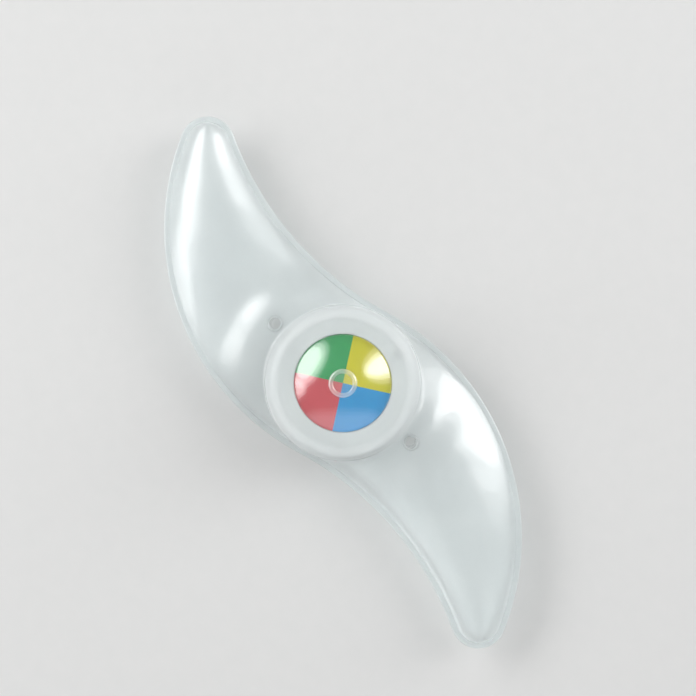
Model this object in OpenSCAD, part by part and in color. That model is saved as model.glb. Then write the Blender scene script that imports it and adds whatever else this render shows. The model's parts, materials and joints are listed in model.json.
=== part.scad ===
// Spoke wheel light: two S-shaped translucent shells welded at a flange, round a white light module
// with a push button on the front and a coin-slot battery door on the back.
// Millimetres. X runs from tip to tip, Z is the button's axis, and Z = 0 is the face it rests on.

/* [Blade outline] */
// Length from tip to tip
overall_length = 132.4; // [122:0.2:144]
// Width across the two bellies
overall_width = 51.4; // [49:0.2:56]
// Radius of each rounded tip
tip_radius = 6; // [5:0.25:7.5]
// Distance of each tip's centre from the long axis
tip_offset = 2.7; // [1:0.1:4]
// Radius of the convex edge
belly_radius = 56; // [52:1:62]
// Radius of the concave edge
waist_radius = 72.5; // [60:0.5:90]

/* [Blade section] */
// Height of a blade's crown over the seam
crown_height = 5; // [4:0.1:6]
// Half-width at which a blade has its full crown
crown_run = 15; // [10:0.5:18]
// Extra height of the plateau round the hub
plateau_height = 1.6; // [0.8:0.1:2]
// Radius of the plateau's flat
plateau_radius = 21; // [19:0.5:23]
// Radial length of the slope from plateau to blade
plateau_slope = 8; // [5:0.5:11]

/* [Shells] */
// Wall of the shells
wall = 1.3; // [1:0.1:1.5]
// Width of the weld flange
flange_width = 1.2; // [0.8:0.1:1.6]
// Thickness of each shell's flange
flange_thickness = 0.8; // [0.5:0.1:1.1]
// Rounding of the front drum's shoulder
front_shoulder = 3; // [1.5:0.1:3.4]
// Rounding of the rear drum's shoulder
rear_shoulder = 2; // [1:0.1:3]
// Depth of the dish that leads down to the button
dish_depth = 0.7; // [0.3:0.1:0.9]

/* [Tie holes] */
// Diameter of the two holes for cable ties
tie_hole = 2.5; // [2:0.1:3.2]
// Wall of the boss round each hole
tie_boss_wall = 0.75; // [0.6:0.05:1]
// Gap between the hub drum and a boss
tie_gap = 0.6; // [0.4:0.1:1.2]
// Angle of the holes from the long axis
tie_angle = 21.7; // [10:0.1:30]

/* [Button] */
// Diameter of the clear lens
lens_diameter = 21.1; // [19:0.1:23]
// Height of the lens's straight rim
lens_rim = 0.9; // [0.6:0.1:1.4]
// Height of the lens's dome over its rim
lens_crown = 2.8; // [2:0.1:3.6]
// Outer diameter of the raised finger ring
finger_ring = 6.2; // [5:0.1:8]
// Width of the finger ring
finger_ring_width = 1; // [0.6:0.1:1.4]
// Height of the finger ring over the dome
finger_ring_height = 0.3; // [0.2:0.05:0.5]
// Thickness of the four colour films
film_thickness = 0.2; // [0.1:0.05:0.3]
// Angle of the first joint between films
film_angle = 50.5; // [0:0.5:90]
// Thickness of the button plate's flange
plate_flange = 0.8; // [0.6:0.1:1.2]
// Height of the button plate's boss under the films
plate_boss = 0.6; // [0.5:0.1:1]
// Diameter of the stem that works the switch
stem_diameter = 4; // [3:0.1:5]
// Height of the stem under the button plate
stem_height = 0.3; // [0.2:0.05:0.6]
// Travel of the button
button_travel = 0.5; // [0.3:0.05:0.55]

/* [Module] */
// Wall of the module case round the battery bay
case_wall = 5.1; // [4.8:0.1:5.6]
// Width of the ledge that carries the board
board_ledge = 2.4; // [2.2:0.1:2.6]
// Thickness of the bezel
bezel_thickness = 1.4; // [1.2:0.1:1.8]
// Number of bezel screws
screw_count = 3; // [3:1:4]
// Thread diameter of the bezel screws
screw_diameter = 1.4; // [1.2:0.1:1.6]
// Head diameter of the bezel screws
screw_head = 2.4; // [2:0.1:2.5]
// Head height of the bezel screws
screw_head_height = 0.8; // [0.6:0.1:1]
// Length of the bezel screws under the head
screw_length = 4.5; // [3.5:0.1:5]

/* [Battery] */
// Diameter of a coin cell
cell_diameter = 20; // [19.6:0.1:20.4]
// Thickness of a coin cell
cell_thickness = 3.2; // [2.8:0.1:3.4]
// Diameter of a cell's negative cap
cell_cap = 17.4; // [16:0.1:18]
// Step from a cell's can to its cap
cell_cap_step = 0.25; // [0.15:0.05:0.4]
// Rounding of a cell's can
cell_rounding = 0.5; // [0.3:0.05:0.7]
// Room for the negative contact over the cells
contact_room = 1.2; // [1:0.1:1.6]
// Width of the contact strips
contact_width = 3; // [2:0.1:4]
// Thickness of the contact strips
contact_thickness = 0.25; // [0.2:0.05:0.35]
// Length of the negative contact under the board
contact_length = 7; // [5:0.1:9]

/* [Battery door] */
// Thickness of the door's disc
door_thickness = 2.2; // [2:0.1:2.6]
// Depth of the door's face under the resting rim
door_recess = 0.4; // [0.2:0.1:0.6]
// Wall of the skirt that carries the lugs
skirt_wall = 0.7; // [0.6:0.05:0.9]
// Number of bayonet lugs
lug_count = 3; // [2:1:3]
// Angle that one lug spans
lug_angle = 24; // [16:1:30]
// Height of a lug
lug_height = 0.8; // [0.6:0.1:1]
// Reach of a lug from the skirt
lug_reach = 0.8; // [0.6:0.1:1]
// Thickness of the ledge that holds the lugs
lock_ledge = 0.6; // [0.5:0.05:0.8]
// Angle that opens the door
door_turn = 40; // [30:1:45]
// Length of the coin slot
coin_slot_length = 15; // [12:0.5:18]
// Width of the coin slot
coin_slot_width = 1.8; // [1.5:0.1:2.2]
// Depth of the coin slot
coin_slot_depth = 1; // [0.7:0.1:1.2]
// Section diameter of the door's seal ring
seal_section = 0.8; // [0.6:0.05:0.9]
// Lip of the door over its seal ring
seal_lip = 0.35; // [0.25:0.05:0.5]

/* [Electronics] */
// Thickness of the circuit board
board_thickness = 1; // [0.8:0.1:1.6]
// Side of the square switch
switch_side = 6; // [5:0.1:7]
// Height of the switch body with its steel frame
switch_height = 2; // [1.7:0.1:2.5]
// Floor of the switch body under its plunger
switch_floor = 0.5; // [0.3:0.05:0.6]
// Thickness of the switch's steel frame
switch_frame_thickness = 0.3; // [0.2:0.05:0.4]
// Diameter of the switch plunger
plunger_diameter = 3.2; // [2.5:0.1:3.5]
// Height of the plunger over the frame
plunger_height = 0.65; // [0.6:0.05:0.9]
// Diameter of the light-emitting diodes
led_diameter = 3; // [2.6:0.1:3.2]
// Length of a diode from foot to dome
led_length = 5.3; // [4.6:0.1:6]
// Width of the flange at a diode's foot
led_flange_width = 0.4; // [0.2:0.05:0.5]
// Length of the flange at a diode's foot
led_flange_length = 1; // [0.6:0.1:1.4]
// Distance from the battery bay to a diode's foot
led_setback = 1.4; // [1.2:0.1:1.8]
// Side of a diode's square leads
led_lead = 0.5; // [0.4:0.05:0.6]
// Spacing of a diode's leads
led_pitch = 2.54; // [2:0.02:2.6]
// Distance from a diode's foot to the bend of its leads
lead_bend = 0.5; // [0.4:0.05:0.6]
// Length of the leads over the board
lead_stub = 0.6; // [0.3:0.1:1]
// Diameter of the control chip's cover
chip_diameter = 5.2; // [4:0.1:6]
// Height of the control chip's cover
chip_height = 1; // [0.6:0.1:1.4]
// Width, length and height of a resistor
resistor_size = [1.25, 2, 0.5];

/* [Fits] */
// Gap between faces that seat on each other
seat_gap = 0.05; // [0.02:0.01:0.1]
// Gap between pieces that slide or turn
slide_gap = 0.1; // [0.05:0.01:0.15]
// Gap round pieces that drop into a pocket
pocket_gap = 0.2; // [0.15:0.01:0.25]
// Gap round the cells, the door and the button
loose_gap = 0.3; // [0.25:0.01:0.4]
// Clear angle at both ends of a lug's way
lock_clear_angle = 2; // [1:0.5:3]

/* [Hidden] */
$fn = 96;
overshoot = 1;
degrees_per_radian = 180 / PI;

// Radii, from the coin cell outwards
cell_r = cell_diameter / 2;
bay_r = cell_r + loose_gap;
case_r = bay_r + case_wall;
board_bay_r = bay_r + board_ledge;
board_r = board_bay_r - pocket_gap;
plate_r = board_bay_r - slide_gap;
drum_inner_r = case_r + loose_gap;
drum_r = drum_inner_r + wall;
lens_r = lens_diameter / 2;
button_hole_r = lens_r + loose_gap;
crest_r = drum_r - front_shoulder;
tie_hole_r = tie_hole / 2;
tie_boss_r = tie_hole_r + tie_boss_wall;
tie_circle_r = drum_r + tie_gap + tie_boss_r;
skirt_inner_r = bay_r + slide_gap;
skirt_r = skirt_inner_r + skirt_wall;
skirt_bay_r = skirt_r + loose_gap;
lug_r = skirt_r + lug_reach;
door_bay_r = lug_r + slide_gap;
lug_way_r = lug_r + pocket_gap;
door_hole_r = lug_r + loose_gap;
screw_circle_r = (board_bay_r + case_r) / 2;

// Heights, from the resting face to the lens
case_z = wall + seat_gap;
skirt_z = door_recess + door_thickness;
cell_rear_z = skirt_z + seat_gap;
cell_front_z = cell_rear_z + cell_thickness;
cells_top_z = cell_front_z + cell_thickness;
board_z = cells_top_z + contact_room;
board_top_z = board_z + board_thickness;
switch_top_z = board_top_z + switch_height;
plunger_top_z = switch_top_z + plunger_height;
stem_z = plunger_top_z + seat_gap;
plate_z = stem_z + stem_height;
plate_top_z = plate_z + plate_flange;
bezel_z = plate_top_z + seat_gap;
bezel_top_z = bezel_z + bezel_thickness;
screw_seat_z = bezel_top_z - screw_head_height;
film_z = plate_top_z + plate_boss;
lens_z = film_z + film_thickness;
lens_rim_z = lens_z + lens_rim;
lens_top_z = lens_rim_z + lens_crown;
shell_top_z = bezel_top_z + seat_gap + wall;
seam_z = shell_top_z / 2;
drum_height = shell_top_z - seam_z;
blade_top = crown_height + plateau_height;

// Lock and seal of the battery door, in height
ledge_z = skirt_z + pocket_gap;
ledge_top_z = ledge_z + lock_ledge;
lug_z = ledge_top_z + pocket_gap;
skirt_top_z = lug_z + lug_height;
groove_top_z = skirt_top_z + pocket_gap;
seal_z = skirt_z - seal_lip - seal_section / 2;

// Diodes, laid on their sides under the board
led_r = led_diameter / 2;
led_flange_r = led_r + led_flange_width;
led_z = board_z - led_flange_r - slide_gap;
led_foot_x = bay_r + led_setback;
lead_x = led_foot_x - lead_bend;
lead_hole_r = led_lead / sqrt(2) + slide_gap;
stub_top_z = board_top_z + lead_stub;

// Positive contact, in a channel at the side of the bay and turned a quarter from the diodes
strip_angle = 90;
strip_r = bay_r + 2 * pocket_gap;
strip_channel_r = strip_r + contact_thickness + pocket_gap;
cell_can_top_z = cell_front_z - cell_cap_step;

// Blade outline: the centres and angles of four tangent arcs along one edge.
// The edge runs from the tip at +X round the belly, through the waist, to the tip at -X.
// The other edge is the same one turned half a turn.
tip_centre = [overall_length / 2 - tip_radius, tip_offset];
belly_centre_y = overall_width / 2 - belly_radius;
belly_centre = [
    tip_centre.x - sqrt((belly_radius - tip_radius) ^ 2 - (belly_centre_y - tip_centre.y) ^ 2),
    belly_centre_y
];
waist_centre = circles_meet(belly_centre, belly_radius + waist_radius, -tip_centre, tip_radius + waist_radius);
belly_start_angle = direction(tip_centre - belly_centre);
belly_end_angle = direction(waist_centre - belly_centre);
waist_start_angle = belly_end_angle - 180;
waist_end_angle = direction(-tip_centre - waist_centre);
apex_angle = (belly_start_angle + waist_end_angle) / 2;
tip_run = arc_length(tip_radius, belly_start_angle - apex_angle);
belly_run = arc_length(belly_radius, belly_end_angle - belly_start_angle);
waist_run = arc_length(waist_radius, waist_start_angle - waist_end_angle);
edge_run = tip_run + belly_run + waist_run + tip_run;

// Stations of the loft along the edge, closer together round the tips
tip_steps = 6;
blade_steps = 32;
across_steps = 14;
first_station = tip_run / 18;
tip_stations = [for (k = [0:tip_steps - 1]) first_station + (tip_run - first_station) * k / tip_steps];
blade_stations = [for (k = [0:blade_steps]) tip_run + (edge_run - 2 * tip_run) * k / blade_steps];
end_stations = [for (k = [tip_steps - 1:-1:0]) edge_run - tip_stations[k]];
stations = concat(tip_stations, blade_stations, end_stations);
across = [for (j = [0:across_steps]) (1 - cos(180 * j / across_steps)) / 2];
crown_power = 2.2;
crown_softness = 0.75;

function direction(v) = atan2(v.y, v.x);
function arc_length(r, angle) = r * angle / degrees_per_radian;
function on_circle(centre, r, angle) = centre + r * [cos(angle), sin(angle)];

// The point where two circles meet, on the right of the line from the first centre to the second
function circles_meet(c1, r1, c2, r2) =
    let (
        gap = norm(c2 - c1),
        along = (r1 ^ 2 - r2 ^ 2 + gap ^ 2) / (2 * gap),
        up = sqrt(r1 ^ 2 - along ^ 2),
        unit = (c2 - c1) / gap
    )
    c1 + along * unit + up * [unit.y, -unit.x];

// A point of the edge at run s along it, moved inwards by inset
function edge_point(s, inset = 0) =
    s < tip_run
        ? on_circle(tip_centre, tip_radius - inset, apex_angle + degrees_per_radian * s / tip_radius)
    : s < tip_run + belly_run
        ? on_circle(belly_centre, belly_radius - inset,
            belly_start_angle + degrees_per_radian * (s - tip_run) / belly_radius)
    : s < tip_run + belly_run + waist_run
        ? on_circle(waist_centre, waist_radius + inset,
            waist_start_angle - degrees_per_radian * (s - tip_run - belly_run) / waist_radius)
    : on_circle(-tip_centre, tip_radius - inset,
        waist_end_angle + 180 + degrees_per_radian * (s - tip_run - belly_run - waist_run) / tip_radius);

function opposite_point(s, inset = 0) = -edge_point(edge_run - s, inset);
function smooth_step(x) = let (c = max(0, min(1, x))) c * c * (3 - 2 * c);

// Height of the crown at a share t across a blade, at a point of the plan
function crown(half_width, t, point, full_height) =
    let (
        grown = sqrt(1 - (1 - min(half_width / crown_run, 1)) ^ 2),
        bow = max(0, 1 - abs(2 * t - 1) ^ crown_power) ^ crown_softness,
        plateau = plateau_height * smooth_step((plateau_radius + plateau_slope - norm(point)) / plateau_slope)
    )
    full_height * grown * bow + plateau * sqrt(bow);

// One cross-section of a crown: its top from edge to edge, then its two foot points
function crown_section(s, inset, edge_z, full_height, foot_z) =
    let (
        p = edge_point(s, inset),
        q = opposite_point(s, inset),
        half_width = norm(q - p) / 2
    )
    concat(
        [for (t = across) let (at = p + (q - p) * t) [at.x, at.y, edge_z + crown(half_width, t, at, full_height)]],
        [[q.x, q.y, foot_z], [p.x, p.y, foot_z]]
    );

// A closed crown lofted through all stations, standing on its foot
module crown_loft(inset, edge_z, full_height, foot_z) {
    sections = [for (s = stations) crown_section(s, inset, edge_z, full_height, foot_z)];
    ring = across_steps + 3;
    last = len(stations) - 1;
    sides = [
        for (i = [0:last - 1], j = [0:ring - 1])
            let (a = i * ring + j, b = i * ring + (j + 1) % ring)
            each [[a, b, b + ring], [a, b + ring, a + ring]]
    ];
    start_cap = [[for (j = [ring - 1:-1:0]) j]];
    end_cap = [[for (j = [0:ring - 1]) last * ring + j]];
    polyhedron([for (section = sections) each section], concat(sides, start_cap, end_cap));
}

module blade_plan() {
    polygon(concat([for (s = stations) edge_point(s)], [for (s = stations) -edge_point(s)]));
}

// Round drum that stands on the seam, with a rounded shoulder
module drum(shoulder) {
    rotate_extrude() {
        square([drum_r, drum_height - shoulder]);
        square([drum_r - shoulder, drum_height]);
        translate([drum_r - shoulder, drum_height - shoulder]) intersection() {
            circle(shoulder);
            square(shoulder);
        }
    }
}

module at_tie_holes() {
    for (turn = [0, 180]) rotate(turn + tie_angle) translate([tie_circle_r, 0, 0]) children();
}

// One shell, standing on the seam: flange, crowned blades and hub drum, hollow but for the tie bosses
module half_shell(shoulder) {
    difference() {
        union() {
            linear_extrude(flange_thickness) blade_plan();
            crown_loft(flange_width, flange_thickness, crown_height - flange_thickness, 0);
            drum(shoulder);
        }
        difference() {
            union() {
                crown_loft(flange_width + wall, 0, crown_height - wall, -overshoot);
                translate([0, 0, -overshoot]) cylinder(r = drum_inner_r, h = drum_height - wall + overshoot);
            }
            at_tie_holes() translate([0, 0, -2 * overshoot]) cylinder(r = tie_boss_r, h = blade_top + 3 * overshoot);
        }
        at_tie_holes() translate([0, 0, -overshoot]) cylinder(r = tie_hole_r, h = blade_top + 2 * overshoot);
    }
}

module front_shell() {
    color([0.86, 0.9, 0.9, 0.6]) translate([0, 0, seam_z]) difference() {
        half_shell(front_shoulder);
        translate([0, 0, -overshoot]) cylinder(r = button_hole_r, h = drum_height + 2 * overshoot);
        translate([0, 0, drum_height - dish_depth]) cylinder(r1 = button_hole_r, r2 = crest_r, h = dish_depth);
    }
}

module rear_shell() {
    color([0.86, 0.9, 0.9, 0.6]) translate([0, 0, seam_z]) mirror([0, 0, 1]) difference() {
        half_shell(rear_shoulder);
        translate([0, 0, -overshoot]) cylinder(r = door_hole_r, h = drum_height + 2 * overshoot);
    }
}

// Pocket for one diode: channels for its body and its flange, open upwards, and one for its leads
module led_pocket() {
    channel_side = led_pitch / 2 + led_lead / 2 + pocket_gap;
    channel_depth = lead_bend + led_lead / 2 + pocket_gap;
    led_channel(0, case_r + overshoot - led_foot_x, led_r + slide_gap, led_r + slide_gap);
    led_channel(-slide_gap, led_flange_length + 2 * slide_gap, led_flange_r + slide_gap, led_flange_r + slide_gap);
    led_channel(-channel_depth, channel_depth, channel_side, led_lead);
}

// One channel along a diode, from x at its foot, with its floor at a depth under the diode's axis
module led_channel(x, length, half_width, depth) {
    translate([led_foot_x + x, -half_width, led_z - depth]) {
        cube([length, 2 * half_width, depth + board_z - led_z + overshoot]);
    }
}

module at_screws() {
    for (k = [0:screw_count - 1]) rotate(strip_angle + 360 * k / screw_count) {
        translate([screw_circle_r, 0, 0]) children();
    }
}

// Plan of the bayonet: a disc with one sector for each lug, which reaches further out
module lug_plan(disc_r, reach_r, start_angle, span) {
    circle(disc_r);
    for (k = [0:lug_count - 1]) rotate(360 * k / lug_count + start_angle) intersection() {
        circle(reach_r);
        polygon([[0, 0], [2 * reach_r, 0], 2 * reach_r * [cos(span), sin(span)]]);
    }
}

// Way of the lugs: they enter through the ledge, then turn in the groove over it to their locked place
module lug_way() {
    span = lug_angle + lock_clear_angle;
    entry_angle = -span / 2 - door_turn;
    translate([0, 0, ledge_z]) linear_extrude(lock_ledge) lug_plan(skirt_bay_r, lug_way_r, entry_angle, span);
    translate([0, 0, ledge_top_z]) linear_extrude(groove_top_z - ledge_top_z) {
        lug_plan(skirt_bay_r, lug_way_r, entry_angle, span + door_turn);
    }
}

module module_case() {
    channel_width = contact_width + 2 * pocket_gap;
    color("white") difference() {
        translate([0, 0, case_z]) cylinder(r = case_r, h = bezel_z - case_z);
        translate([0, 0, case_z - overshoot]) cylinder(r = bay_r, h = bezel_z);
        translate([0, 0, board_z]) cylinder(r = board_bay_r, h = bezel_z);
        translate([0, 0, case_z - overshoot]) cylinder(r = door_bay_r, h = ledge_z - case_z + overshoot);
        lug_way();
        for (turn = [0, 180]) rotate(turn) led_pocket();
        rotate(strip_angle) translate([0, -channel_width / 2, groove_top_z - overshoot]) {
            cube([strip_channel_r, channel_width, board_z - groove_top_z + 2 * overshoot]);
        }
        at_screws() translate([0, 0, screw_seat_z - screw_length - pocket_gap]) {
            cylinder(d = screw_diameter, h = bezel_top_z);
        }
    }
}

module module_bezel() {
    color("white") difference() {
        translate([0, 0, bezel_z]) cylinder(r = case_r, h = bezel_thickness);
        translate([0, 0, bezel_z - overshoot]) cylinder(r = button_hole_r, h = bezel_thickness + 2 * overshoot);
        at_screws() {
            translate([0, 0, bezel_z - overshoot]) cylinder(r = screw_diameter / 2 + slide_gap, h = bezel_top_z);
            translate([0, 0, screw_seat_z]) cylinder(r = screw_head / 2 + slide_gap, h = bezel_thickness);
        }
    }
}

// White nylon screws with a crossed recess in a flat head
module bezel_screws() {
    recess = [0.7 * screw_head, 0.16 * screw_head, screw_head_height];
    color("white") at_screws() translate([0, 0, screw_seat_z]) difference() {
        union() {
            cylinder(d = screw_head, h = screw_head_height);
            translate([0, 0, -screw_length]) cylinder(d = screw_diameter, h = screw_length + screw_head_height / 2);
        }
        for (turn = [0, 90]) rotate(turn) translate([0, 0, screw_head_height]) cube(recess, center = true);
    }
}

module circuit_board() {
    slot = [contact_thickness + 2 * pocket_gap, contact_width + 2 * pocket_gap];
    color("seagreen") translate([0, 0, board_z]) linear_extrude(board_thickness) difference() {
        circle(board_r);
        for (x = [-lead_x, lead_x], y = [-led_pitch / 2, led_pitch / 2]) translate([x, y]) circle(lead_hole_r);
        rotate(strip_angle) translate([strip_r - pocket_gap, -slot.y / 2]) square(slot);
    }
}

// Square plate with the plunger's hole through it
module switch_plate(thickness) {
    linear_extrude(thickness) difference() {
        square(switch_side, center = true);
        circle(plunger_diameter / 2 + slide_gap);
    }
}

module switch_body() {
    well = switch_height - switch_frame_thickness - switch_floor;
    color("dimgray") translate([0, 0, board_top_z]) {
        linear_extrude(switch_floor) square(switch_side, center = true);
        translate([0, 0, switch_floor]) switch_plate(well);
    }
}

module switch_frame() {
    color("silver") translate([0, 0, switch_top_z - switch_frame_thickness]) switch_plate(switch_frame_thickness);
}

// The plunger stands in the switch with its whole travel left under it
module switch_plunger() {
    foot_z = board_top_z + switch_floor + button_travel + slide_gap;
    color("black") translate([0, 0, foot_z]) cylinder(d = plunger_diameter, h = plunger_top_z - foot_z);
}

// Control chip under a round drop of resin
module control_chip() {
    drop_r = (chip_diameter ^ 2 / 4 + chip_height ^ 2) / (2 * chip_height);
    color("black") translate([0, -(switch_side / 2 + board_r) / 2, board_top_z]) rotate_extrude() intersection() {
        translate([0, chip_height - drop_r]) circle(drop_r);
        square([chip_diameter / 2, chip_height]);
    }
}

module resistors() {
    middle_x = (switch_side / 2 + lead_x) / 2;
    color("black") for (side = [-1, 1]) translate([side * middle_x, 0, board_top_z + resistor_size.z / 2]) {
        cube(resistor_size, center = true);
    }
}

// Diode that lies along +X: flange, body and round dome
module led() {
    body_length = led_length - led_r;
    translate([led_foot_x, 0, led_z]) rotate([0, 90, 0]) rotate_extrude() {
        square([led_flange_r, led_flange_length]);
        square([led_r, body_length]);
        translate([0, body_length]) intersection() {
            circle(led_r);
            square(led_r);
        }
    }
}

module led_right() {
    color("whitesmoke") led();
}

module led_left() {
    color("whitesmoke") rotate(180) led();
}

// Each lead leaves a diode's foot, turns up and passes through the board
module led_leads() {
    foot = led_lead / 2;
    color("silver") for (turn = [0, 180], side = [-1, 1]) rotate(turn) {
        translate([lead_x - foot, side * led_pitch / 2 - foot, led_z - foot]) {
            cube([lead_bend + foot, led_lead, led_lead]);
            cube([led_lead, led_lead, stub_top_z - led_z + foot]);
        }
    }
}

// A strip bent along a line of points, as a band of even thickness
module bent_strip(points) {
    rotate([90, 0, 0]) translate([0, 0, -contact_width / 2]) linear_extrude(contact_width) {
        for (k = [0:len(points) - 2]) {
            run = points[k + 1] - points[k];
            translate(points[k]) rotate(direction(run)) translate([0, -contact_thickness / 2]) {
                square([norm(run), contact_thickness]);
            }
            translate(points[k + 1]) circle(contact_thickness / 2);
        }
    }
}

// Tongue under the board that folds back and presses on the front cell's cap
module negative_contact() {
    half = contact_thickness / 2;
    base_z = board_z - half;
    touch_z = cells_top_z + half + seat_gap / 2;
    fold_x = -contact_length / 2;
    touch_x = fold_x + 2 * (base_z - touch_z);
    color("silver") bent_strip([
        [contact_length / 2, base_z], [fold_x, base_z], [touch_x, touch_z], [touch_x + contact_width / 2, touch_z + half]
    ]);
}

// Strip at the side of the bay, from the rear cell's rim up through the board
module positive_contact() {
    half = contact_thickness / 2;
    line_r = strip_r + half;
    touch_r = cell_r + half + seat_gap / 2;
    touch_z = (cell_can_top_z + groove_top_z) / 2;
    color("silver") rotate(strip_angle) bent_strip([
        [line_r, stub_top_z], [line_r, touch_z + 2 * (line_r - touch_r)], [touch_r, touch_z], [line_r, touch_z - half]
    ]);
}

// Coin cell with a rounded can and a raised negative cap
module coin_cell(z) {
    can_height = cell_thickness - cell_cap_step;
    color("silver") translate([0, 0, z]) rotate_extrude() {
        square([cell_r - cell_rounding, can_height]);
        translate([0, cell_rounding]) square([cell_r, can_height - cell_rounding]);
        translate([cell_r - cell_rounding, cell_rounding]) circle(cell_rounding);
        square([cell_cap / 2, cell_thickness]);
    }
}

module cell_front() {
    coin_cell(cell_front_z);
}

module cell_rear() {
    coin_cell(cell_rear_z);
}

// Door: disc with a groove for its seal ring, a skirt round the rear cell, and bayonet lugs
module battery_door() {
    color("white") difference() {
        union() {
            translate([0, 0, door_recess]) cylinder(r = lug_r, h = door_thickness);
            translate([0, 0, skirt_z - seal_lip]) cylinder(r = skirt_r, h = lug_z - skirt_z + seal_lip);
            translate([0, 0, lug_z]) linear_extrude(lug_height) lug_plan(skirt_r, lug_r, -lug_angle / 2, lug_angle);
        }
        translate([0, 0, skirt_z]) cylinder(r = skirt_inner_r, h = skirt_top_z);
        translate([0, 0, seal_z - seal_section / 2]) rotate_extrude() {
            translate([lug_r - seal_section, 0]) square([seal_section + overshoot, seal_section]);
        }
        translate([0, 0, door_recess]) {
            cube([coin_slot_length, coin_slot_width, 2 * coin_slot_depth], center = true);
        }
    }
}

module door_seal_ring() {
    color("dimgray") translate([0, 0, seal_z]) rotate_extrude() {
        translate([lug_r - seal_section / 2, 0]) circle(d = seal_section);
    }
}

module button_plate() {
    color("white") {
        translate([0, 0, plate_z]) cylinder(r = plate_r, h = plate_flange);
        translate([0, 0, plate_z]) cylinder(r = lens_r, h = film_z - plate_z);
        translate([0, 0, stem_z]) cylinder(d = stem_diameter, h = film_z - stem_z);
    }
}

// One quarter of the colour film under the lens
module film(quarter) {
    translate([0, 0, film_z]) rotate(film_angle + 90 * quarter) rotate_extrude(angle = 90) {
        square([lens_r, film_thickness]);
    }
}

module film_yellow() {
    color("gold") film(0);
}

module film_green() {
    color("mediumseagreen") film(1);
}

module film_red() {
    color("crimson") film(2);
}

module film_blue() {
    color("dodgerblue") film(3);
}

// Clear lens: straight rim, low dome, and a raised ring round the place that a finger presses
module button_lens() {
    dome_r = (lens_r ^ 2 + lens_crown ^ 2) / (2 * lens_crown);
    dome_centre_z = lens_top_z - dome_r;
    ring_inner_r = finger_ring / 2 - finger_ring_width;
    ring_foot_z = dome_centre_z + sqrt(dome_r ^ 2 - finger_ring ^ 2 / 4);
    ring_top_z = dome_centre_z + sqrt(dome_r ^ 2 - ring_inner_r ^ 2) + finger_ring_height;
    color([0.95, 0.97, 1, 0.4]) rotate_extrude() {
        translate([0, lens_z]) square([lens_r, lens_rim]);
        intersection() {
            translate([0, dome_centre_z]) circle(dome_r);
            translate([0, lens_rim_z]) square([lens_r, lens_crown]);
        }
        translate([ring_inner_r, ring_foot_z - lens_rim]) square([finger_ring_width, ring_top_z - ring_foot_z + lens_rim]);
    }
}

front_shell();
rear_shell();
module_case();
module_bezel();
bezel_screws();
circuit_board();
switch_body();
switch_frame();
switch_plunger();
control_chip();
resistors();
led_right();
led_left();
led_leads();
negative_contact();
positive_contact();
cell_front();
cell_rear();
battery_door();
door_seal_ring();
button_plate();
film_yellow();
film_green();
film_red();
film_blue();
button_lens();
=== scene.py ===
import json
import math

import bpy
import numpy as np
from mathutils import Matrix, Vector


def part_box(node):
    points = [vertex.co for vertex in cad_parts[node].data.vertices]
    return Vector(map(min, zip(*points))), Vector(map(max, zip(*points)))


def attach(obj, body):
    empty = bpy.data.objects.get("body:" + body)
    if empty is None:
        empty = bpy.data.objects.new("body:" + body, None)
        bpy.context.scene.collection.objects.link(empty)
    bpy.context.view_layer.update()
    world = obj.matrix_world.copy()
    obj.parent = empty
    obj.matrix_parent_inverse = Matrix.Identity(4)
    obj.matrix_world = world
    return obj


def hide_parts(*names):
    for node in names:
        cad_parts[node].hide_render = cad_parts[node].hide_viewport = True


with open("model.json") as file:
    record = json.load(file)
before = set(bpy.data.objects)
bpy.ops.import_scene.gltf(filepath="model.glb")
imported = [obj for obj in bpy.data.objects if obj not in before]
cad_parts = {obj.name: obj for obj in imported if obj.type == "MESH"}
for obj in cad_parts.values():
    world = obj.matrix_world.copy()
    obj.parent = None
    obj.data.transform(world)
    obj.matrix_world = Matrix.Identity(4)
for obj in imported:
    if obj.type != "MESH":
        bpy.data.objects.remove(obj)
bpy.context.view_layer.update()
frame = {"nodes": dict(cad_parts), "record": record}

# Looks of a spoke wheel light: a milky, S-shaped body of two welded shells, with a white light module
# in its hub, a clear push button over a four-colour disc in front and a battery door behind.
nodes = frame["nodes"]
record = frame["record"]

# Sizes in metres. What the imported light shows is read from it, and the rest repeats the part's own sizes,
# apart from the crown's power, which makes the blades a little more roof-like, and the finest forms.
front_low, front_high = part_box("front_shell")
lens_low, lens_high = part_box("button_lens")
door_low, door_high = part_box("battery_door")
case_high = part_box("module_case")[1]
seam_z = front_low.z
shell_top = front_high.z
drum_height = shell_top - seam_z
lens_r = lens_high.x
wall = 0.0013
loose_gap = 0.0003
drum_inner_r = case_high.x + loose_gap
drum_r = drum_inner_r + wall
tip_radius = 0.006
tip_offset = 0.0027
belly_radius = 0.056
waist_radius = 0.0725
crown_height = 0.005
crown_run = 0.015
crown_power = 1.75
crown_softness = 0.75
plateau_height = 0.0016
plateau_radius = 0.021
plateau_slope = 0.008
flange_width = 0.0012
flange_thickness = 0.0008
tie_boss_wall = 0.00075
weld_gap = 0.00002
ripple_height = 0.00004
lip_gap = 0.00007
front_shoulder = 0.003
rear_shoulder = 0.002
collar_dish = 0.0007
lens_rim = 0.0009
dome_height = 0.0028
ring_outer_r = 0.0031
ring_width = 0.001
ring_height = 0.0003
door_r = door_high.x
door_thickness = 0.0022
door_rounding = 0.00025
skirt_wall = 0.0007
lug_height = 0.0008
lug_angle = math.radians(24)
lug_reach = 0.0008
skirt_r = door_r - lug_reach
seal_section = 0.0008
seal_lip = 0.00035
coin_slot_length = 0.015
coin_slot_width = 0.0018
coin_slot_depth = 0.001


# Shader maths


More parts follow.
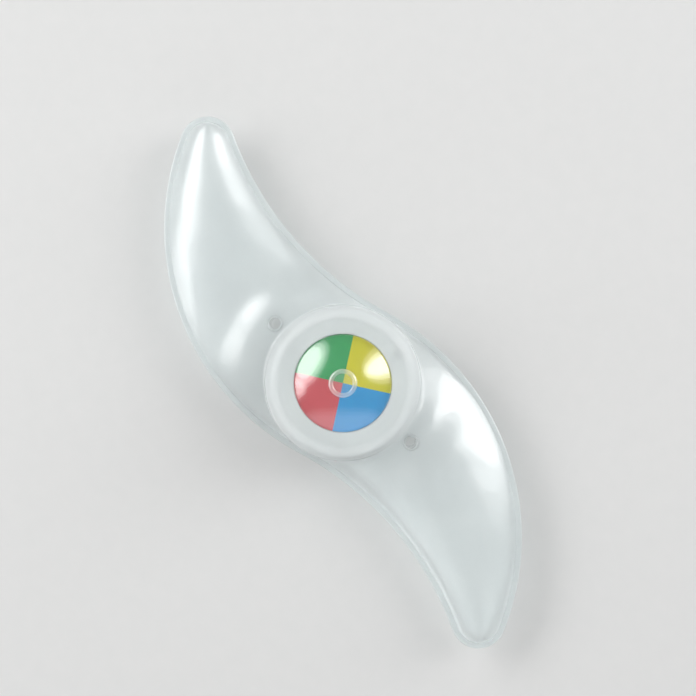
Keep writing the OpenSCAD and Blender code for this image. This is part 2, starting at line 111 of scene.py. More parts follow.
class Socket:
    """An output of a shader node. A sum on it adds Math nodes to its finish."""

    def __init__(self, finish, output):
        self.finish = finish
        self.output = output

    def math(self, operation, *values):
        return self.finish.node("ShaderNodeMath", {"operation": operation}, dict(enumerate(values)))

    def __add__(self, other):
        return self.math("ADD", self, other)

    def __radd__(self, other):
        return self.math("ADD", other, self)

    def __sub__(self, other):
        return self.math("SUBTRACT", self, other)

    def __rsub__(self, other):
        return self.math("SUBTRACT", other, self)

    def __mul__(self, other):
        return self.math("MULTIPLY", self, other)

    def __rmul__(self, other):
        return self.math("MULTIPLY", other, self)

    def __pow__(self, other):
        return self.math("POWER", self, other)

    def __gt__(self, other):
        return self.math("GREATER_THAN", self, other)


class Finish:
    """A material or the world: a node tree, and one method that adds any node to it."""

    def __init__(self, block):
        block.use_nodes = True
        self.block = block
        self.tree = block.node_tree
        self.tree.nodes.clear()

    def node(self, kind, settings=None, sockets=None, output=0):
        made = self.tree.nodes.new(kind)
        for key, value in (settings or {}).items():
            setattr(made, key, value)
        for key, value in (sockets or {}).items():
            if isinstance(value, Socket):
                self.tree.links.new(value.output, made.inputs[key])
            else:
                made.inputs[key].default_value = value
        return Socket(self, made.outputs[output] if made.outputs else None)

    def place(self):
        return self.node("ShaderNodeTexCoord", output="Object")

    def stretched(self, scale):
        """Places, scaled along each axis."""
        return self.node("ShaderNodeMapping", sockets={"Vector": self.place(), "Scale": scale})

    def noise(self, scale, detail=2.0, roughness=0.5, distortion=0.0, vector=None):
        sockets = {"Scale": scale, "Detail": detail, "Roughness": roughness, "Distortion": distortion}
        sockets["Vector"] = vector or self.place()
        return self.node("ShaderNodeTexNoise", sockets=sockets)

    def colours(self, share, first, second):
        sockets = {0: share, 6: first, 7: second}
        return self.node("ShaderNodeMix", {"data_type": "RGBA"}, sockets, output=2)

    def span(self, value, low, high, first=0.0, second=1.0):
        sockets = {0: value, 1: low, 2: high, 3: first, 4: second}
        return self.node("ShaderNodeMapRange", {"interpolation_type": "SMOOTHSTEP"}, sockets)

    def along(self, axis):
        """Distance along an axis of the light."""
        return self.node("ShaderNodeSeparateXYZ", sockets={0: self.place()}, output=axis)

    def from_axis(self):
        """Distance from the hub's axis."""
        return (self.along("X") ** 2 + self.along("Y") ** 2) ** 0.5

    def bump(self, height, strength, distance):
        sockets = {"Height": height, "Strength": strength, "Distance": distance}
        return self.node("ShaderNodeBump", sockets=sockets)

    def surface(self, sockets):
        return self.node("ShaderNodeBsdfPrincipled", sockets=sockets)

    def scattered(self):
        """1 for light paths that a matt surface has scattered before."""
        return self.node("ShaderNodeLightPath", output="Diffuse Depth") > 0.5

    def mixed(self, share, first, second):
        return self.node("ShaderNodeMixShader", sockets={0: share, 1: first, 2: second})

    def lets_lamps_through(self, shader, share, tint):
        """The shader, but for lamps a share of it is clear, as thin plastic lights what is under it."""
        shadow = self.node("ShaderNodeLightPath", output="Is Shadow Ray")
        clear = self.node("ShaderNodeBsdfTransparent", sockets={"Color": tint})
        return self.mixed(shadow * share, shader, clear)

    def show(self, shader, kind="ShaderNodeOutputMaterial"):
        self.node(kind, sockets={"Surface": shader})
        return self.block


def material(name):
    return Finish(bpy.data.materials.new(name))


# Finishes


def milky_shell():
    """Soft, milky see-through plastic with a glossy skin, duller on the collar and denser at its crest."""
    f = material("milky_shell")
    cloud = f.noise(90, 4, 0.55, 0.6)
    scuff = f.span(f.noise(1400, 3, 0.7), 0.58, 0.72)
    grain = f.noise(5200, 2)
    radius = f.from_axis()
    on_collar = f.span(radius, drum_r + 0.0008, drum_r - 0.0006)
    skin = {
        "Roughness": 0.34 + cloud * 0.10 + scuff * 0.08 + on_collar * 0.2,
        "IOR": 1.46,
        "Coat Weight": (1 - scuff * 0.2) * (1 - on_collar * 0.88),
        "Coat Roughness": 0.05,
        "Coat IOR": 1.62,
        "Normal": f.bump(cloud * 0.6 + grain * 0.4, 0.15, 0.0001),
    }
    milk = f.colours(cloud, (0.77, 0.805, 0.81, 1), (0.86, 0.89, 0.888, 1))
    milky = f.surface({"Base Color": milk, "Transmission Weight": 0.8, **skin})
    dense = f.surface({"Base Color": milk, "Transmission Weight": 0.5, **skin})
    past_dish = f.span(radius, drum_r - 0.0032, drum_r - 0.0024)
    past_wall = f.span(radius, drum_r - 0.0004, drum_r + 0.0008)
    shader = f.mixed(past_dish - past_wall, milky, dense)
    return f.show(f.lets_lamps_through(shader, 0.9, (0.95, 0.965, 0.965, 1)))


def moulded_white():
    """White moulded plastic with a fine satin texture."""
    f = material("moulded_white")
    tone = f.noise(130, 3)
    satin = f.noise(6500, 2, 0.6)
    shader = f.surface({
        "Base Color": f.colours(tone, (0.66, 0.66, 0.65, 1), (0.73, 0.73, 0.72, 1)),
        "Roughness": 0.38 + satin * 0.16,
        "Normal": f.bump(satin, 0.25, 0.00004),
    })
    return f.show(shader)


def clear_lens():
    """Polished clear plastic with a frosted finger ring, and hairlines that only soften its gloss."""
    f = material("clear_lens")
    hairline = f.span(f.noise(2600, 4, 0.75, 2.0), 0.62, 0.74)
    frost_grain = f.noise(7000, 2)
    gloss = {"IOR": 1.49, "Coat Weight": 1.0, "Coat Roughness": 0.13, "Coat IOR": 2.2}
    clear = f.surface({
        "Base Color": (0.985, 0.99, 0.995, 1),
        "Roughness": 0.02 + hairline * 0.10,
        "Transmission Weight": 1.0,
        **gloss,
    })
    frosted = f.surface({
        "Base Color": (0.90, 0.90, 0.89, 1),
        "Roughness": 0.42 + frost_grain * 0.15,
        "Transmission Weight": 0.62,
        **gloss,
    })
    soft = 0.00012
    radius = f.from_axis()
    inner_r = ring_outer_r - ring_width
    outside = f.span(radius, ring_outer_r - soft, ring_outer_r + soft)
    inside = f.span(radius, inner_r + soft, inner_r - soft, 0.0, 0.72)
    ring = (1 - outside - inside) * 0.85
    return f.show(f.lets_lamps_through(f.mixed(ring, clear, frosted), 0.92, (1, 1, 1, 1)))


def printed_film(name, colour):
    """Colour print on film: fine dots of ink, a little uneven."""
    f = material(name)
    dots = f.node(
        "ShaderNodeTexVoronoi",
        {"feature": "F1"},
        {"Vector": f.place(), "Scale": 9000, "Randomness": 0.3},
    )
    ink = f.noise(420, 4, 0.6) * 0.6 + f.span(dots, 0.25, 0.5) * 0.4
    pale = tuple(0.94 * c + 0.02 for c in colour)
    shader = f.surface({
        "Base Color": f.colours(ink, (*colour, 1), (*pale, 1)),
        "Roughness": 0.32 + ink * 0.12,
    })
    return f.show(shader)


def plated_steel():
    """Nickel-plated spring steel with fine drawing lines."""
    f = material("plated_steel")
    lines = f.noise(900, 4, 0.6, vector=f.stretched((1, 12, 12)))
    shader = f.surface({
        "Base Color": f.colours(lines, (0.62, 0.61, 0.59, 1), (0.80, 0.79, 0.77, 1)),
        "Metallic": 1.0,
        "Roughness": 0.20 + lines * 0.18,
        "Normal": f.bump(lines, 0.2, 0.00002),
    })
    return f.show(shader)


def cell_can():
    """Deep-drawn steel of a coin cell, spun in rings and lightly rubbed."""
    f = material("cell_can")
    rings = f.node(
        "ShaderNodeTexWave",
        {"wave_type": "RINGS", "rings_direction": "Z"},
        {"Vector": f.place(), "Scale": 1300, "Distortion": 1.2, "Detail": 3},
        output="Fac",
    )
    rub = f.span(f.noise(700, 4, 0.7), 0.5, 0.7)
    shader = f.surface({
        "Base Color": f.colours(rub, (0.68, 0.68, 0.69, 1), (0.56, 0.56, 0.58, 1)),
        "Metallic": 1.0,
        "Roughness": 0.22 + rings * 0.08 + rub * 0.15,
        "Normal": f.bump(rings, 0.15, 0.00002),
    })
    return f.show(shader)


def board_mask():
    """Green solder mask over copper tracks on glass laminate."""
    f = material("board_mask")
    tracks = f.node(
        "ShaderNodeTexVoronoi",
        {"feature": "DISTANCE_TO_EDGE"},
        {"Vector": f.place(), "Scale": 420, "Randomness": 0.55},
    )
    copper = 1 - f.span(tracks, 0.10, 0.14)
    weave = f.noise(3000, 2)
    shader = f.surface({
        "Base Color": f.colours(copper, (0.02, 0.13, 0.06, 1), (0.05, 0.26, 0.11, 1)),
        "Roughness": 0.30 + weave * 0.15,
        "Normal": f.bump(copper, 0.3, 0.00003),
    })
    return f.show(shader)


def dark_finish(name, colour, roughness, grain_scale, grain_depth):
    """A dark moulded, cured or vulcanised surface, with grain of its own scale."""
    f = material(name)
    grain = f.noise(grain_scale, 3, 0.6)
    pale = tuple(c * 1.9 + 0.012 for c in colour)
    shader = f.surface({
        "Base Color": f.colours(grain, (*colour, 1), (*pale, 1)),
        "Roughness": roughness + grain * 0.18,
        "Normal": f.bump(grain, 0.3, grain_depth),
    })
    return f.show(shader)


def diode_epoxy():
    """Clear epoxy of a light-emitting diode, faintly cloudy."""
    f = material("diode_epoxy")
    cloud = f.noise(800, 3)
    shader = f.surface({
        "Base Color": f.colours(cloud, (0.90, 0.93, 0.95, 1), (0.97, 0.98, 0.98, 1)),
        "Roughness": 0.06 + cloud * 0.08,
        "IOR": 1.53,
        "Transmission Weight": 0.9,
    })
    return f.show(f.lets_lamps_through(shader, 0.8, (1, 1, 1, 1)))


def pale_floor():
    """Pale paper that fades out far away. It is clear from below, to lamps and to scattered light."""
    f = material("pale_floor")
    fibre = f.noise(260, 3)
    shader = f.surface({
        "Base Color": f.colours(fibre, (0.73, 0.735, 0.73, 1), (0.76, 0.76, 0.755, 1)),
        "Roughness": 0.9,
    })
    under = f.node("ShaderNodeNewGeometry", output="Backfacing")
    far = f.span(f.from_axis(), 0.14, 0.42)
    shadow = f.node("ShaderNodeLightPath", output="Is Shadow Ray")
    unseen = under + shadow + f.scattered()
    clear = f.node("ShaderNodeBsdfTransparent")
    return f.show(f.mixed(unseen.math("MAXIMUM", unseen, far), shader, clear))


finishes = {
    "shell_plastic": milky_shell(),
    "white_plastic": moulded_white(),
    "lens_plastic": clear_lens(),
    "yellow_film": printed_film("yellow_print", (0.80, 0.75, 0.01)),
    "green_film": printed_film("green_print", (0.02, 0.43, 0.125)),
    "red_film": printed_film("red_print", (0.76, 0.085, 0.11)),
    "blue_film": printed_film("blue_print", (0.005, 0.385, 0.85)),
    "bright_steel": plated_steel(),
    "cell_steel": cell_can(),
    "board_laminate": board_mask(),
    "black_plastic": dark_finish("black_moulding", (0.018, 0.018, 0.019), 0.42, 4200, 0.00003),
    "black_resin": dark_finish("potting_resin", (0.012, 0.012, 0.013), 0.16, 900, 0.00006),
    "diode_resin": diode_epoxy(),
    "seal_rubber": dark_finish("black_rubber", (0.022, 0.022, 0.023), 0.62, 2600, 0.00004),
}
for subpart in record["subparts"]:
    slots = nodes[subpart["node"]].data.materials
    slots.clear()
    slots.append(finishes[subpart["material_slot"]])


# Modelling steps that pieces share


def start_piece(name):
    """The object that was just added, under its own name."""
    piece = bpy.context.object
    piece.name = name
    piece.data.name = name
    return piece


def choose(*pieces):
    """Only these pieces are selected, and the first is active."""
    bpy.ops.object.select_all(action="DESELECT")
    for piece in pieces:
        piece.select_set(True)
    bpy.context.view_layer.objects.active = pieces[0]


def edit(piece, *steps):
    """Edit-mode steps on all of a piece."""
    choose(piece)
    bpy.ops.object.mode_set(mode="EDIT")
    bpy.ops.mesh.select_mode(type="VERT")
    bpy.ops.mesh.select_all(action="SELECT")
    for step in steps:
        step()
    bpy.ops.object.mode_set(mode="OBJECT")


def merge():
    bpy.ops.mesh.remove_doubles(threshold=0.000002)
    bpy.ops.mesh.dissolve_degenerate(threshold=0.000001)
    bpy.ops.mesh.normals_make_consistent(inside=False)


def half_turn():
    bpy.ops.mesh.duplicate()
    bpy.ops.transform.rotate(value=math.pi, orient_axis="Z", center_override=(0, 0, 0))
    bpy.ops.mesh.select_all(action="SELECT")


def solid(add, **settings):
    """A primitive with its place in its mesh."""
    bpy.ops.object.select_all(action="DESELECT")
    add(**settings)
    bpy.ops.object.transform_apply(location=True, rotation=True, scale=True)
    return bpy.context.object


def lay_grid(rows):
    """A grid whose rows of points are laid along a form."""
    bpy.ops.object.select_all(action="DESELECT")
    count, length = rows.shape[:2]
    bpy.ops.mesh.primitive_grid_add(x_subdivisions=length - 1, y_subdivisions=count - 1)
    bpy.context.object.data.vertices.foreach_set("co", rows.reshape(-1))
    return bpy.context.object


def turned(name, profile, steps=144):
    """A piece turned on the hub's axis: a ring of points laid along its section and spun round."""
    bpy.ops.object.select_all(action="DESELECT")
    bpy.ops.mesh.primitive_circle_add(vertices=len(profile))
    piece = start_piece(name)
    for vertex, (r, z) in zip(piece.data.vertices, profile):
        vertex.co = (r, 0, z)
    spin = {"steps": steps, "angle": 2 * math.pi, "center": (0, 0, 0), "axis": (0, 0, 1)}
    edit(piece, lambda: bpy.ops.mesh.spin(**spin), lambda: bpy.ops.mesh.select_all(action="SELECT"), merge)
    return piece


def apply_modifier(piece, kind, **settings):
    choose(piece)
    modifier = piece.modifiers.new(kind.lower(), kind)
    for key, value in settings.items():
        setattr(modifier, key, value)
    bpy.ops.object.modifier_apply(modifier=modifier.name)


def combine(piece, tool, operation):
    apply_modifier(piece, "BOOLEAN", object=tool, operation=operation, solver="EXACT")
    bpy.data.objects.remove(tool)


def smooth(piece, degrees):
    choose(piece)
    bpy.ops.object.shade_smooth_by_angle(angle=math.radians(degrees))


def place_piece(piece, slot, body, *replaced):
    """The piece gets its finish, rides on its body and stands for the nodes it replaces."""
    piece.data.materials.clear()
    piece.data.materials.append(finishes[slot])
    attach(piece, body)
    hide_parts(*replaced)


def quarter_round(radius, steps=6):
    """Reach and drop of a quarter round, from level to upright."""
    turn = np.linspace(0, math.pi / 2, steps)
    return radius * (1 - np.sin(turn)), radius * (1 - np.cos(turn))


# Outline of the blades: one edge is four arcs from tip to tip, and the other is that edge turned half a turn


def bearing(v):
    return math.atan2(v[1], v[0])


def circles_meet(c1, r1, c2, r2):
    """The point where two circles meet, on the right of the line from the first centre to the second."""
    gap = np.linalg.norm(c2 - c1)
    along = (r1**2 - r2**2 + gap**2) / (2 * gap)
    unit = (c2 - c1) / gap
    return c1 + along * unit + math.sqrt(r1**2 - along**2) * np.array([unit[1], -unit[0]])


tip_centre = np.array([front_high.x - tip_radius, tip_offset])
belly_y = front_high.y - belly_radius
belly_reach = math.sqrt((belly_radius - tip_radius) ** 2 - (belly_y - tip_offset) ** 2)
belly_centre = np.array([tip_centre[0] - belly_reach, belly_y])
waist_centre = circles_meet(belly_centre, belly_radius + waist_radius, -tip_centre, tip_radius + waist_radius)
belly_start = bearing(tip_centre - belly_centre)
belly_end = bearing(waist_centre - belly_centre)
waist_start = belly_end - math.pi
waist_end = bearing(-tip_centre - waist_centre)
apex = (belly_start + waist_end) / 2
tip_run = tip_radius * (belly_start - apex)
belly_run = belly_radius * (belly_end - belly_start)
waist_run = waist_radius * (waist_start - waist_end)
edge_run = 2 * tip_run + belly_run + waist_run
# Length, centre, radius, first bearing and turn of each arc: 1 turns left, -1 right
edge_arcs = (
    (tip_run, tip_centre, tip_radius, apex, 1),
    (belly_run, belly_centre, belly_radius, belly_start, 1),
    (waist_run, waist_centre, waist_radius, waist_start, -1),
    (tip_run, -tip_centre, tip_radius, waist_end + math.pi, 1),
)


def edge_point(run, inset):
    """Points of the edge at runs along it, moved inwards by inset."""
    run = np.asarray(run, float)
    points = np.zeros(run.shape + (2,))
    start = 0.0
    for length, centre, radius, first, turn in edge_arcs:
        angle = first + turn * (run - start) / radius
        arc = centre + (radius - turn * inset) * np.stack([np.cos(angle), np.sin(angle)], -1)
        points = np.where((run >= start)[..., None], arc, points)
        start += length
    return points


def opposite_point(run, inset):
    return -edge_point(edge_run - np.asarray(run, float), inset)


# Stations along the edge: the blade from its tip to the hub, then the hub
tip_stations = np.linspace(0, tip_run, 16)
hub_start = 0.045
blade_stations = np.concatenate([tip_stations, np.linspace(tip_run, hub_start, 60)[1:]])
hub_stations = np.linspace(hub_start, edge_run - hub_start, 100)
all_stations = np.concatenate([blade_stations, hub_stations[1:-1], edge_run - blade_stations[::-1]])
across = (1 - np.cos(np.linspace(0, math.pi, 41))) / 2


def ripple(points):
    """Unevenness of soft plastic that shrank in its mould, the same on both blades."""
    x, y = points[..., 0], points[..., 1]
    return ripple_height * np.cos(440 * x + 130 * y) * np.cos(360 * y - 210 * x)


def crown(half_width, share, points, full_height):
    """Height of the crown at a share of the way across a blade, at points of the plan."""
    grown = np.sqrt(1 - (1 - np.minimum(half_width / crown_run, 1)) ** 2)
    bow = (1 - np.abs(2 * np.clip(share, 0, 1) - 1) ** crown_power) ** crown_softness
    near = np.clip((plateau_radius + plateau_slope - np.linalg.norm(points, axis=-1)) / plateau_slope, 0, 1)
    plateau = plateau_height * near**2 * (3 - 2 * near) * np.sqrt(bow)
    return full_height * grown * bow + plateau + ripple(points) * bow


def blade_place(points, inset):
    """Half the blade's width at points of the plan, and their share of the way across it."""
    low = np.zeros(points.shape[:-1])
    high = np.full(points.shape[:-1], edge_run)
    for _ in range(40):
        run = (low + high) / 2
        start = edge_point(run, inset)
        chord = opposite_point(run, inset) - start
        away = points - start
        further = chord[..., 0] * away[..., 1] < chord[..., 1] * away[..., 0]
        low = np.where(further, run, low)
        high = np.where(further, high, run)
    width = np.linalg.norm(chord, axis=-1)
    return width / 2, (chord * away).sum(-1) / width**2


def spatial(points, height):
    return np.concatenate([points, np.broadcast_to(height, points.shape[:-1])[..., None]], -1)


def clear_of_hub(points, radius):
    """Points of the edge, moved out where they come too close to the hub's wall."""
    reach = np.linalg.norm(points, axis=-1, keepdims=True)
    return points * np.maximum(1, radius / reach)


def eased(rows, at, spread, times):
    """Rows of points, smoothed along the form round one row, as a fillet does."""
    for _ in range(times):
        near = slice(at - spread, at + spread)
        before, after = slice(at - spread - 1, at + spread - 1), slice(at - spread + 1, at + spread + 1)
        rows[near] = (rows[before] + 2 * rows[near] + rows[after]) / 4
    return rows


class Skin:
    """The outer or inner skin of half a shell: a blade and half of the hub, with heights over the seam."""

    def __init__(self, inset, base, full_height, hub_r):
        self.inset = inset
        self.base = base
        self.full_height = full_height
        self.hub_r = hub_r

    def height(self, points):
        half_width, share = blade_place(points, self.inset)
        return self.base + crown(half_width, share, points, self.full_height)

    def blade(self):
        start = edge_point(blade_stations, self.inset)[:, None]
        chord = opposite_point(blade_stations, self.inset)[:, None] - start
        points = start + chord * across[None, :, None]
        half_width = np.linalg.norm(chord, axis=-1) / 2
        return spatial(points, self.base + crown(half_width, across[None], points, self.full_height))

    def edge(self, stations):
        return clear_of_hub(edge_point(stations, self.inset), self.hub_r + 0.00015)

    def hub_border(self):
        last = hub_stations[-1]
        start = edge_point(last, self.inset)
        chord = opposite_point(last, self.inset) - start
        return np.concatenate([self.edge(hub_stations), start + chord * across[1:, None]])

    def hub(self, top, shoulder, heading, wall_steps, field_steps):
        """Rows from the hub's shoulder down its wall to the foot, and on to the border."""
        foot = self.height(self.hub_r * heading)
        arc_r = self.hub_r - shoulder
        arc_z = top - shoulder
        on_arc = np.arccos(np.clip((foot - arc_z) / shoulder, 0, 1)) if shoulder else 0 * foot
        length = shoulder * on_arc + np.maximum(0, arc_z - foot)
        way = np.linspace(0, 1, wall_steps + 1)[:, None] * length
        angle = np.minimum(way / shoulder, math.pi / 2) if shoulder else 0 * way + math.pi / 2
        reach = arc_r + shoulder * np.sin(angle)
        drop = np.maximum(0, way - shoulder * math.pi / 2)
        wall_rows = spatial(reach[..., None] * heading, arc_z + shoulder * np.cos(angle) - drop)
        share = (1 - np.cos(np.linspace(0, math.pi, field_steps + 1)[1:])) / 2
        inner = wall_rows[-1, :, :2]
        points = inner + (self.hub_border() - inner) * share[:, None, None]
        return np.concatenate([wall_rows, spatial(points, self.height(points))])


outer_skin = Skin(flange_width, flange_thickness, crown_height - flange_thickness, drum_r)
inner_skin = Skin(flange_width + wall, 0, crown_height - wall, drum_inner_r)


def collar_rows(hole_r, shoulder, dish, heading):
    """Rows of the collar, from the lower edge of its hole over the lip and the dish to the crest."""
    lip = 0.0002
    crest_r = drum_r - shoulder
    ceiling = drum_height - wall
    lip_z = drum_height - dish
    down, out = quarter_round(lip, 5)
    dish_radii = np.linspace(hole_r + lip, crest_r, 13)[1:]
    radii = np.concatenate([[hole_r], hole_r + out, dish_radii])
    slope = lip_z + dish * np.clip((radii - hole_r) / (crest_r - hole_r), 0, 1)
    heights = np.concatenate([[ceiling], slope[1:6] - down, slope[6:]])
    return np.stack([spatial(r * heading, z) for r, z in zip(radii, heights)])


def shell_half(hole_r, shoulder, dish):
    """Patches of half a shell over the seam: skins of blade and hub, and the flange that joins them."""
    border = outer_skin.hub_border()
    heading = border / np.linalg.norm(border, axis=-1, keepdims=True)
    collar = collar_rows(hole_r, shoulder, dish, heading)
    crest = len(collar) - 1
    wall_steps = 16
    outside = outer_skin.hub(drum_height, shoulder, heading, wall_steps, field_steps=34)
    outside = np.concatenate([collar, outside[1:]])
    outside = eased(outside, crest, spread=3, times=3)
    outside = eased(outside, crest + wall_steps, spread=7, times=14)
    ceiling_z = drum_height - wall
    inside = inner_skin.hub(ceiling_z, 0, heading, wall_steps=6, field_steps=24)
    ceiling = [spatial(r * heading, ceiling_z) for r in np.linspace(hole_r, drum_inner_r, 7)[:-1]]
    inside = np.concatenate([np.stack(ceiling), inside])
    edge_round = 0.0003
    edge_break = 0.0001
    reach, drop = quarter_round(edge_round, 5)
    insets = [edge_round * 2, *reach, 0, edge_break * 0.8]
    levels = [flange_thickness, *(flange_thickness - drop), edge_break, 0]
    flange = [spatial(edge_point(all_stations, i), z) for i, z in zip(insets, levels)]
    flange.insert(0, spatial(outer_skin.edge(all_stations), flange_thickness))
    flange.append(spatial(inner_skin.edge(all_stations), 0))
    return [outer_skin.blade(), outside, np.stack(flange), inside, inner_skin.blade()]


def moulded_shell(name, side, hole_r, shoulder, dish):
    """A whole shell: half is laid out, turned half a turn and merged. side is 1 in front and -1 behind."""
    patches = []
    for rows in shell_half(hole_r, shoulder, dish):
        rows[..., 2] = seam_z + side * (rows[..., 2] + weld_gap)
        patches.append(lay_grid(rows))
    choose(*patches)
    bpy.ops.object.join()
    piece = start_piece(name)
    edit(piece, merge, half_turn, merge)
    for mount in record["mounts"]:
        if mount["kind"] == "bore":
            tie_hole(piece, side, mount)
    smooth(piece, 32)
    return piece


def tie_hole(piece, side, mount):
    """A boss from the shell's top down to the seam, a rounded lip on top, and a hole through them."""
    x, y, _ = mount["pos_m"]
    radius = mount["dims"]["r_mm"] / 1000
    top = float(outer_skin.height(np.array([x, y])))
    combine(piece, column((x, y), side, weld_gap, top - wall / 2, radius + tie_boss_wall), "UNION")
    lip = 0.0003
    overshoot = 0.001
    lip_ring = solid(
        bpy.ops.mesh.primitive_torus_add,
        major_segments=64, minor_segments=20, major_radius=radius + lip, minor_radius=lip,
        location=(x, y, seam_z + side * (top - lip / 2)),
    )
    combine(piece, lip_ring, "UNION")
    combine(piece, column((x, y), side, -overshoot, top + 2 * overshoot, radius), "DIFFERENCE")


def column(plan, side, low, high, radius):
    """A round column between two heights over the seam."""
    place = (*plan, seam_z + side * (low + high) / 2)
    add = bpy.ops.mesh.primitive_cylinder_add
    return solid(add, vertices=64, radius=radius, depth=high - low, location=place)


front = moulded_shell("front_moulding", 1, lens_r + lip_gap, front_shoulder, collar_dish)
place_piece(front, "shell_plastic", "body", "front_shell")
rear = moulded_shell("rear_moulding", -1, door_r + loose_gap, rear_shoulder, 0.0)
place_piece(rear, "shell_plastic", "body", "rear_shell")


# Button lens: a low dome on a straight rim, with a rounded ring where the finger presses


def lens_profile():
    rim_z = lens_low.z + lens_rim
    film_sink = 0.00002
    edge_round = 0.00015
    ring_foot = ring_outer_r - ring_width
    dome_r = (lens_r**2 + dome_height**2) / (2 * dome_height)
    reach, drop = quarter_round(edge_round, 5)
    radii = np.concatenate([
        np.linspace(lens_r, ring_outer_r, 30),
        ring_outer_r - ring_width * (1 - np.cos(np.linspace(0, math.pi, 15)[1:])) / 2,
        np.linspace(ring_foot, 0, 12)[1:],
    ])
    ring = np.sqrt(np.clip(1 - ((radii - ring_foot - ring_width / 2) / (ring_width / 2)) ** 2, 0, 1))
    dome = rim_z + dome_height - dome_r + np.sqrt(dome_r**2 - radii**2) + ring_height * ring
    foot_z = lens_low.z - film_sink
    return [(0, foot_z), *zip(lens_r - reach, foot_z + drop), *zip(radii, dome)]


lens = turned("clear_dome", lens_profile())
smooth(lens, 40)
place_piece(lens, "lens_plastic", "button", "button_lens")


# Battery door: a turned disc with a groove for its seal and a skirt, a coin slot in it and lugs on the skirt


def door_profile():
    disc_top = door_low.z + door_thickness
    groove_top = disc_top - seal_lip
    groove_foot = groove_top - seal_section
    reach, drop = quarter_round(door_rounding)
    flat_r = door_r - 2 * door_rounding
    return [
        (0, door_low.z), (flat_r, door_low.z), *zip(door_r - reach, door_low.z + drop),
        (door_r, groove_foot), (skirt_r, groove_foot), (skirt_r, groove_top), (door_r, groove_top),
        (door_r, disc_top), (skirt_r, disc_top), (skirt_r, door_high.z), (skirt_r - skirt_wall, door_high.z),
        (skirt_r - skirt_wall, disc_top), (0, disc_top),
    ]


def slot_ring(offset, z):
    """A rounded rectangle round the coin slot, that much wider than the slot all round."""
    corner = 0.0003
    turn = np.linspace(0, math.pi / 2, 6)
    half_length, half_width = coin_slot_length / 2 - corner, coin_slot_width / 2 - corner
    ring = []
    for quarter, (sx, sy) in enumerate(((1, 1), (-1, 1), (-1, -1), (1, -1))):
        angle = turn + quarter * math.pi / 2
        ring += zip(sx * half_length + (corner + offset) * np.cos(angle),
                    sy * half_width + (corner + offset) * np.sin(angle))
    return spatial(np.array(ring + ring[:1]), z)


def coin_slot():
    """The form that is cut out of the door: straight walls with a rounded rim."""
    clear = 0.000005
    overshoot = 0.0005
    reach, drop = quarter_round(door_rounding)
    rows = [slot_ring(door_rounding, door_low.z - overshoot)]
    rows += [slot_ring(r, door_low.z - clear + d) for r, d in zip(reach, drop)]
    rows.append(slot_ring(0, door_low.z + coin_slot_depth))
    cutter = lay_grid(np.stack(rows))
    edit(cutter, merge, lambda: bpy.ops.mesh.fill_holes(sides=0), merge)
    return cutter


def bayonet_lug(angle):
    """A lug that reaches from inside the skirt's wall to the door's full radius."""
    inner = skirt_r - skirt_wall / 2
    overshoot = 0.0005
    size = (door_r - inner + overshoot, 2 * skirt_r * math.sin(lug_angle / 2), lug_height)
    along = inner + size[0] / 2
    level = door_high.z - lug_height / 2
    place = (along * math.cos(angle), along * math.sin(angle), level)
    lug = solid(bpy.ops.mesh.primitive_cube_add, size=1, location=place, rotation=(0, 0, angle), scale=size)
    add = bpy.ops.mesh.primitive_cylinder_add
    reach = solid(add, vertices=144, radius=door_r, depth=5 * lug_height, location=(0, 0, level))
    combine(lug, reach, "INTERSECT")
    return lug


door = turned("rounded_door", door_profile())
combine(door, coin_slot(), "DIFFERENCE")
for count in range(3):
    combine(door, bayonet_lug(count * 2 * math.pi / 3), "UNION")
edit(door, merge)
smooth(door, 32)
place_piece(door, "white_plastic", "battery_door", "battery_door")


# Stage: pale floor, soft lamps, pale world and the camera square over the light


def softbox(name, heading, tilt, size, power, distance):
    """A soft oval lamp over the light, tilted from the upright towards a heading in the plan."""
    out = Vector((math.cos(heading) * math.sin(tilt), math.sin(heading) * math.sin(tilt), math.cos(tilt)))
    lamp = bpy.data.lights.new(name, "AREA")
    lamp.shape = "ELLIPSE"
    lamp.size, lamp.size_y = size
    lamp.energy = power
    holder = bpy.data.objects.new(name, lamp)
    holder.location = out * distance
    holder.rotation_mode = "QUATERNION"
    holder.rotation_quaternion = out.to_track_quat("Z", "Y")
    bpy.context.scene.collection.objects.link(holder)


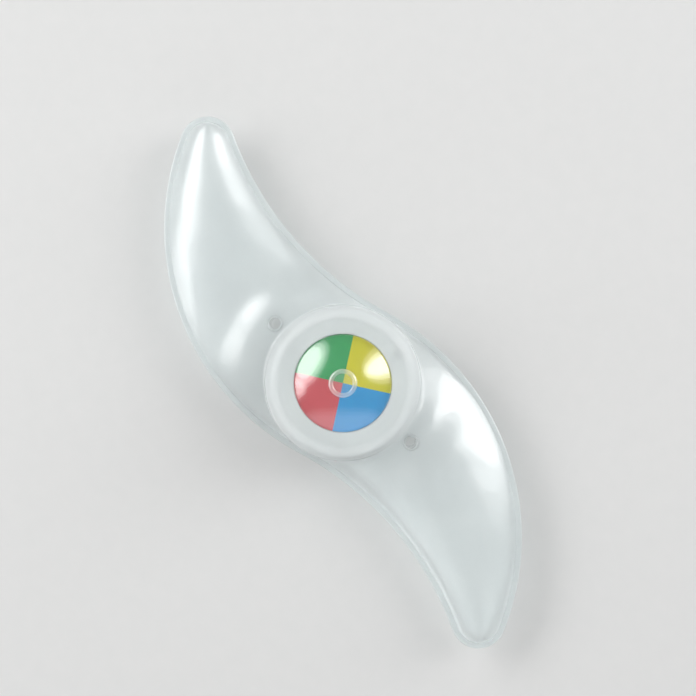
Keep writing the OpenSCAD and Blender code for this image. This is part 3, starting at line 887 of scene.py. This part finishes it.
def pale_world():
    """Soft sky and paler ground, which the camera and glass see as one pale background."""
    f = Finish(bpy.data.worlds.new("pale_world"))
    seen = f.node("ShaderNodeLightPath", output="Is Camera Ray")
    seen = seen + f.node("ShaderNodeLightPath", output="Is Transmission Ray")
    direction = f.node("ShaderNodeTexCoord", output="Generated")
    up = f.node("ShaderNodeSeparateXYZ", sockets={0: direction}, output="Z")
    light = f.span(up, -0.1, 0.1, 0.78, 0.28)
    background = 0.72
    strength = light + (seen - f.scattered() > 0.5) * (background - light)
    sky = f.node("ShaderNodeBackground", sockets={"Color": (1, 1, 1, 1), "Strength": strength})
    bpy.context.scene.world = f.show(sky, "ShaderNodeOutputWorld")


def square_on_camera():
    """The camera looks straight down, with the light's long axis turned as it hangs in the photograph."""
    width_seen = 0.153
    plan = (-0.00625, 0.00442)
    turn = math.radians(63.0)
    camera = bpy.data.cameras.new("square_on")
    camera.lens = 100
    camera.sensor_width = 36
    holder = bpy.data.objects.new("square_on", camera)
    distance = width_seen * camera.lens / camera.sensor_width
    holder.location = (*plan, seam_z + distance)
    holder.rotation_euler = (0, 0, turn)
    bpy.context.scene.collection.objects.link(holder)
    bpy.context.scene.camera = holder


floor_size = 6
floor_drop = 0.00005
bpy.ops.object.select_all(action="DESELECT")
bpy.ops.mesh.primitive_plane_add(size=floor_size, location=(0, 0, -floor_drop))
floor = start_piece("pale_floor")
floor.data.materials.append(pale_floor())
# Name, heading and tilt in degrees, and the size, power and distance of each layer. A lamp's layers lie close
# in front of each other, so that its glow falls off towards its rim.
lamps = (
    ("right_lamp", 86, 57, (
        ((0.52, 0.84), 0.86, 0.70),
        ((0.36, 0.78), 1.10, 0.69),
        ((0.24, 0.66), 0.90, 0.68),
    )),
    ("left_lamp", 213, 48, (
        ((0.80, 0.50), 0.98, 0.70),
        ((0.64, 0.40), 0.80, 0.69),
        ((0.48, 0.28), 0.65, 0.68),
    )),
    ("left_strip", 251, 66, (
        ((0.32, 0.58), 0.55, 0.73),
        ((0.22, 0.48), 0.32, 0.72),
    )),
    ("low_fill", 333, 54, (
        ((1.30, 0.62), 0.40, 0.70),
        ((1.15, 0.48), 0.28, 0.69),
        ((1.00, 0.34), 0.15, 0.68),
    )),
)
for name, heading, tilt, layers in lamps:
    for size, power, distance in layers:
        softbox(name, math.radians(heading), math.radians(tilt), size, power, distance)
pale_world()
square_on_camera()
bpy.context.scene.view_settings.view_transform = "Standard"
